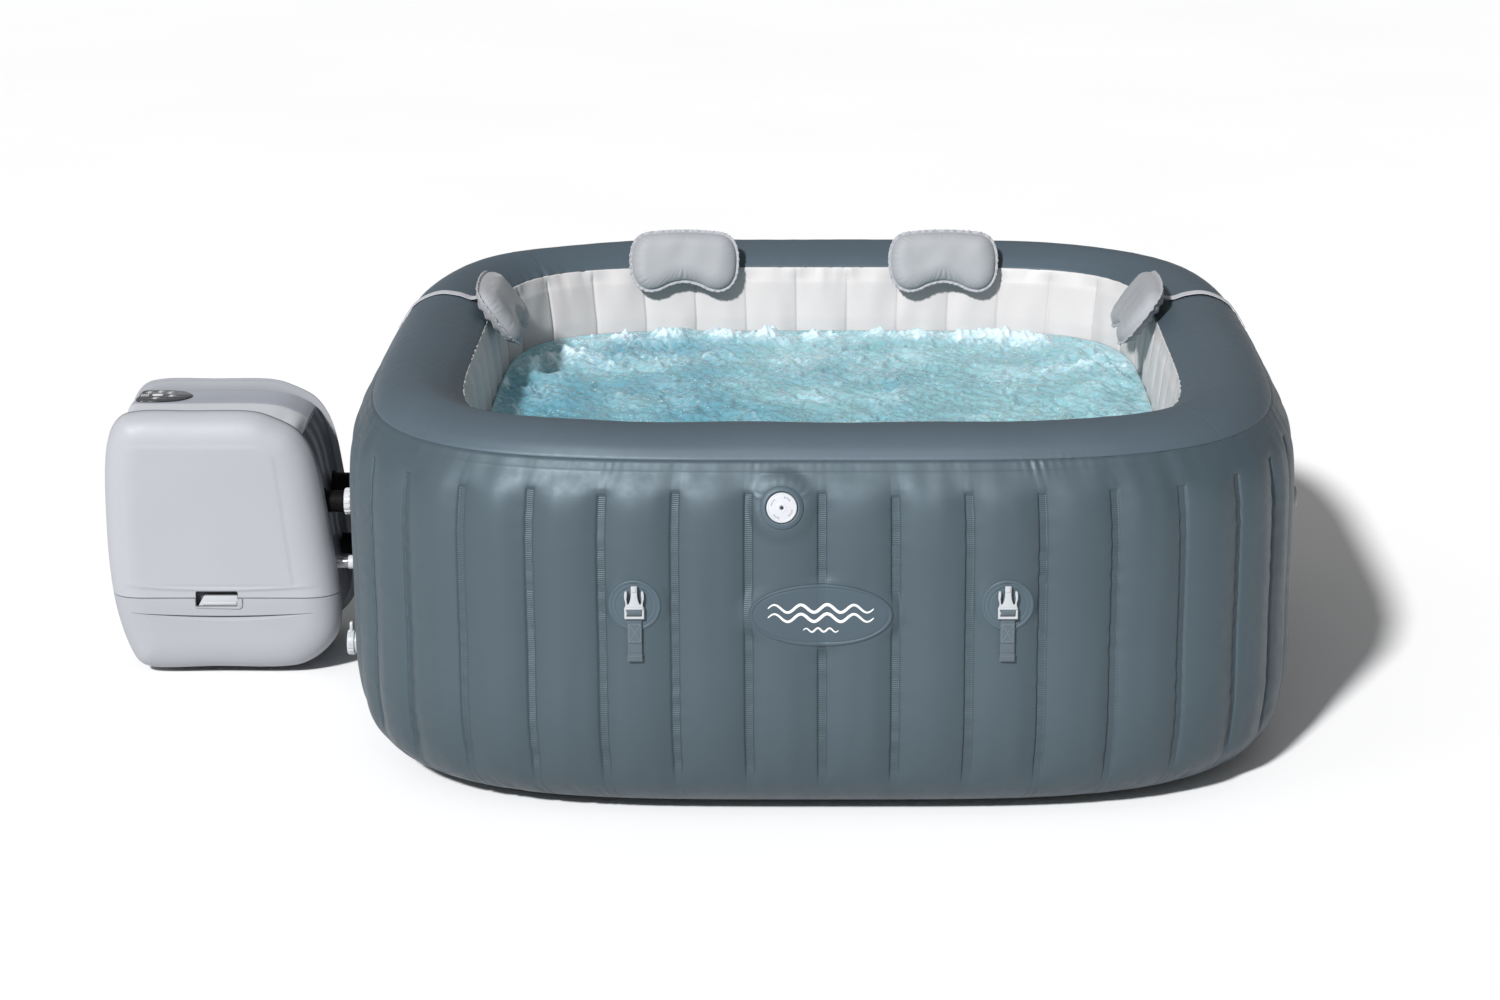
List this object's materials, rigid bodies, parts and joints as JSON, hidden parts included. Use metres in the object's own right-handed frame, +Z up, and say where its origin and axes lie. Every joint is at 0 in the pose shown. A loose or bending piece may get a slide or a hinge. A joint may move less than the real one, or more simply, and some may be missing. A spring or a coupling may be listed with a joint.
{
  "type": "inflatable hot tub",
  "caption": "Square inflatable spa with welded vertical ribs, smooth padded rim, head pillows, air dial and strap buckles, joined by pipes to a free-standing heater pump.",
  "frame": {"origin": "centre of the tub's underside, on the ground", "axes": "+Z up; -Y is the tub's front, with the badge and the air dial; the pump stands on the -X side"},
  "size_m": [2.3403, 1.8089, 0.7572],
  "materials": {
    "tub_vinyl": "satin",
    "rim_vinyl": "satin",
    "liner_vinyl": "satin",
    "web_fabric": "matte",
    "badge_vinyl": "satin",
    "grey_plastic": "satin",
    "grey_webbing": "matte",
    "light_webbing": "matte",
    "pillow_fabric": "matte",
    "shell_plastic": "satin",
    "latch_plastic": "satin",
    "chassis_plastic": "matte",
    "console_plastic": "satin",
    "panel_black": "gloss",
    "key_plastic": "satin",
    "rubber": "matte",
    "white_plastic": "satin",
    "filter_media": "matte",
    "steel": "satin",
    "motor_metal": "satin",
    "board": "satin"
  },
  "bodies": {
    "tub": {"outer_wall": "tub_vinyl", "top_rim": "rim_vinyl", "inner_liner": "liner_vinyl", "tension_webs": "web_fabric", "base_sheet": "tub_vinyl", "bubble_channel": "liner_vinyl", "badge_plate": "badge_vinyl", "dial_flange": "rim_vinyl", "buckle_patch_left": "badge_vinyl", "buckle_patch_right": "badge_vinyl", "inflation_valve_base": "grey_plastic", "drain_valve_body": "grey_plastic", "pump_front_shell": "shell_plastic", "pump_rear_shell": "shell_plastic", "pump_chassis": "chassis_plastic", "console_bar": "console_plastic", "control_panel": "panel_black", "circulation_motor": "motor_metal", "heater_tube": "steel", "air_blower": "chassis_plastic", "circuit_board": "board", "pump_port_upper_front": "rubber", "wall_fitting_upper_front": "white_plastic", "pump_port_upper_rear": "rubber", "wall_fitting_upper_rear": "white_plastic", "pump_port_lower_front": "grey_plastic", "wall_fitting_lower_front": "white_plastic", "pump_port_lower_rear": "rubber", "wall_fitting_lower_rear": "white_plastic"},
    "pillow_unit_back_left": {"pillow_back_left": "pillow_fabric", "pillow_strap_back_left": "light_webbing"},
    "pillow_unit_back_right": {"pillow_back_right": "pillow_fabric", "pillow_strap_back_right": "light_webbing"},
    "pillow_unit_side_left": {"pillow_side_left": "pillow_fabric", "pillow_strap_side_left": "light_webbing"},
    "pillow_unit_side_right": {"pillow_side_right": "pillow_fabric", "pillow_strap_side_right": "light_webbing"},
    "air_dial": {"air_control_dial": "grey_plastic"},
    "inflation_cap": {"inflation_valve_cap": "grey_plastic"},
    "drain_plug": {"drain_cap": "grey_plastic"},
    "buckle_plug_left": {"buckle_left": "grey_plastic"},
    "strap_tail_left": {"strap_left": "grey_webbing"},
    "buckle_plug_right": {"buckle_right": "grey_plastic"},
    "strap_tail_right": {"strap_right": "grey_webbing"},
    "union_upper_front": {"union_nut_upper_front": "grey_plastic"},
    "union_upper_rear": {"union_nut_upper_rear": "grey_plastic"},
    "jet_back_left": {"jet_nozzle_back_left": "white_plastic"},
    "jet_back_right": {"jet_nozzle_back_right": "white_plastic"},
    "jet_side_left": {"jet_nozzle_side_left": "white_plastic"},
    "jet_side_right": {"jet_nozzle_side_right": "white_plastic"},
    "filter_unit": {"filter_cartridge": "filter_media"},
    "door": {"access_door": "shell_plastic"},
    "latch": {"door_latch": "latch_plastic"},
    "button_power": {"key_power": "key_plastic"},
    "button_heat": {"key_heat": "key_plastic"},
    "button_filter": {"key_filter": "key_plastic"},
    "button_bubbles": {"key_bubbles": "key_plastic"},
    "button_jets": {"key_jets": "key_plastic"},
    "impeller": {"pump_impeller": "white_plastic"},
    "fan": {"blower_fan": "white_plastic"}
  },
  "joints": [
    {"name": "flip_pillow_back_left", "type": "hinge", "parent": "tub", "child": "pillow_unit_back_left", "pos_m": [-0.299, 0.8693, 0.64], "axis": [-1, 0, 0], "range_deg": [0, 110]},
    {"name": "flip_pillow_back_right", "type": "hinge", "parent": "tub", "child": "pillow_unit_back_right", "pos_m": [0.263, 0.8705, 0.64], "axis": [-1, 0, 0], "range_deg": [0, 110]},
    {"name": "flip_pillow_side_left", "type": "hinge", "parent": "tub", "child": "pillow_unit_side_left", "pos_m": [-0.8709, 0.25, 0.64], "axis": [0, -1, 0], "range_deg": [0, 110]},
    {"name": "flip_pillow_side_right", "type": "hinge", "parent": "tub", "child": "pillow_unit_side_right", "pos_m": [0.8709, 0.25, 0.64], "axis": [0, 1, 0], "range_deg": [0, 110]},
    {"name": "turn_air_dial", "type": "hinge", "parent": "tub", "child": "air_dial", "pos_m": [-0.07, -0.8932, 0.591], "axis": [0, -0.9636, 0.2672], "range_deg": [-90, 90]},
    {"name": "turn_inflation_cap", "type": "hinge", "parent": "tub", "child": "inflation_cap", "pos_m": [0.9027, -0.3, 0.437], "axis": [1, 0, 0], "range_deg": [0, 90]},
    {"name": "turn_drain_cap", "type": "hinge", "parent": "tub", "child": "drain_plug", "pos_m": [-0.9078, -0.3, 0.143], "axis": [-1, 0, 0], "range_deg": [0, 360]},
    {"name": "tilt_buckle_left", "type": "hinge", "parent": "tub", "child": "buckle_plug_left", "pos_m": [-0.329, -0.9061, 0.393], "axis": [1, 0, 0], "range_deg": [0, 80]},
    {"name": "swing_strap_left", "type": "hinge", "parent": "tub", "child": "strap_tail_left", "pos_m": [-0.329, -0.9006, 0.3885], "axis": [-1, 0, 0], "range_deg": [0, 60]},
    {"name": "tilt_buckle_right", "type": "hinge", "parent": "tub", "child": "buckle_plug_right", "pos_m": [0.326, -0.9061, 0.393], "axis": [1, 0, 0], "range_deg": [0, 80]},
    {"name": "swing_strap_right", "type": "hinge", "parent": "tub", "child": "strap_tail_right", "pos_m": [0.326, -0.9006, 0.3885], "axis": [-1, 0, 0], "range_deg": [0, 60]},
    {"name": "turn_union_nut_upper_front", "type": "hinge", "parent": "tub", "child": "union_upper_front", "pos_m": [-0.9494, -0.03, 0.349], "axis": [1, 0, 0], "continuous": true},
    {"name": "turn_union_nut_upper_rear", "type": "hinge", "parent": "tub", "child": "union_upper_rear", "pos_m": [-0.9494, 0.1, 0.349], "axis": [1, 0, 0], "continuous": true},
    {"name": "swivel_jet_back_left", "type": "hinge", "parent": "tub", "child": "jet_back_left", "pos_m": [-0.299, 0.658, 0.3], "axis": [0, 0, 1], "range_deg": [-20, 20]},
    {"name": "swivel_jet_back_right", "type": "hinge", "parent": "tub", "child": "jet_back_right", "pos_m": [0.263, 0.658, 0.3], "axis": [0, 0, 1], "range_deg": [-20, 20]},
    {"name": "swivel_jet_side_left", "type": "hinge", "parent": "tub", "child": "jet_side_left", "pos_m": [-0.656, 0.25, 0.3], "axis": [0, 0, 1], "range_deg": [-20, 20]},
    {"name": "swivel_jet_side_right", "type": "hinge", "parent": "tub", "child": "jet_side_right", "pos_m": [0.656, 0.25, 0.3], "axis": [0, 0, 1], "range_deg": [-20, 20]},
    {"name": "pull_filter", "type": "slide", "parent": "tub", "child": "filter_unit", "axis": [1, 0, 0], "range_m": [0, 0.12]},
    {"name": "open_access_door", "type": "hinge", "parent": "tub", "child": "door", "pos_m": [-1.2, -0.063, 0.014], "axis": [1, 0, 0], "range_deg": [0, 48]},
    {"name": "press_door_latch", "type": "slide", "parent": "door", "child": "latch", "axis": [0, 1, 0], "range_m": [0, 0.004], "stiffness_N_per_m": 300, "springref_m": -0.002},
    {"name": "press_key_power", "type": "slide", "parent": "tub", "child": "button_power", "axis": [0, 0, -1], "range_m": [0, 0.001], "stiffness_N_per_m": 300, "springref_m": -0.001},
    {"name": "press_key_heat", "type": "slide", "parent": "tub", "child": "button_heat", "axis": [0, 0, -1], "range_m": [0, 0.001], "stiffness_N_per_m": 300, "springref_m": -0.001},
    {"name": "press_key_filter", "type": "slide", "parent": "tub", "child": "button_filter", "axis": [0, 0, -1], "range_m": [0, 0.001], "stiffness_N_per_m": 300, "springref_m": -0.001},
    {"name": "press_key_bubbles", "type": "slide", "parent": "tub", "child": "button_bubbles", "axis": [0, 0, -1], "range_m": [0, 0.001], "stiffness_N_per_m": 300, "springref_m": -0.001},
    {"name": "press_key_jets", "type": "slide", "parent": "tub", "child": "button_jets", "axis": [0, 0, -1], "range_m": [0, 0.001], "stiffness_N_per_m": 300, "springref_m": -0.001},
    {"name": "spin_impeller", "type": "hinge", "parent": "tub", "child": "impeller", "pos_m": [-1.167, 0.066, 0.092], "axis": [1, 0, 0], "continuous": true},
    {"name": "spin_blower_fan", "type": "hinge", "parent": "tub", "child": "fan", "pos_m": [-1.3, 0.05, 0.322], "axis": [0, 0, 1], "continuous": true}
  ]
}
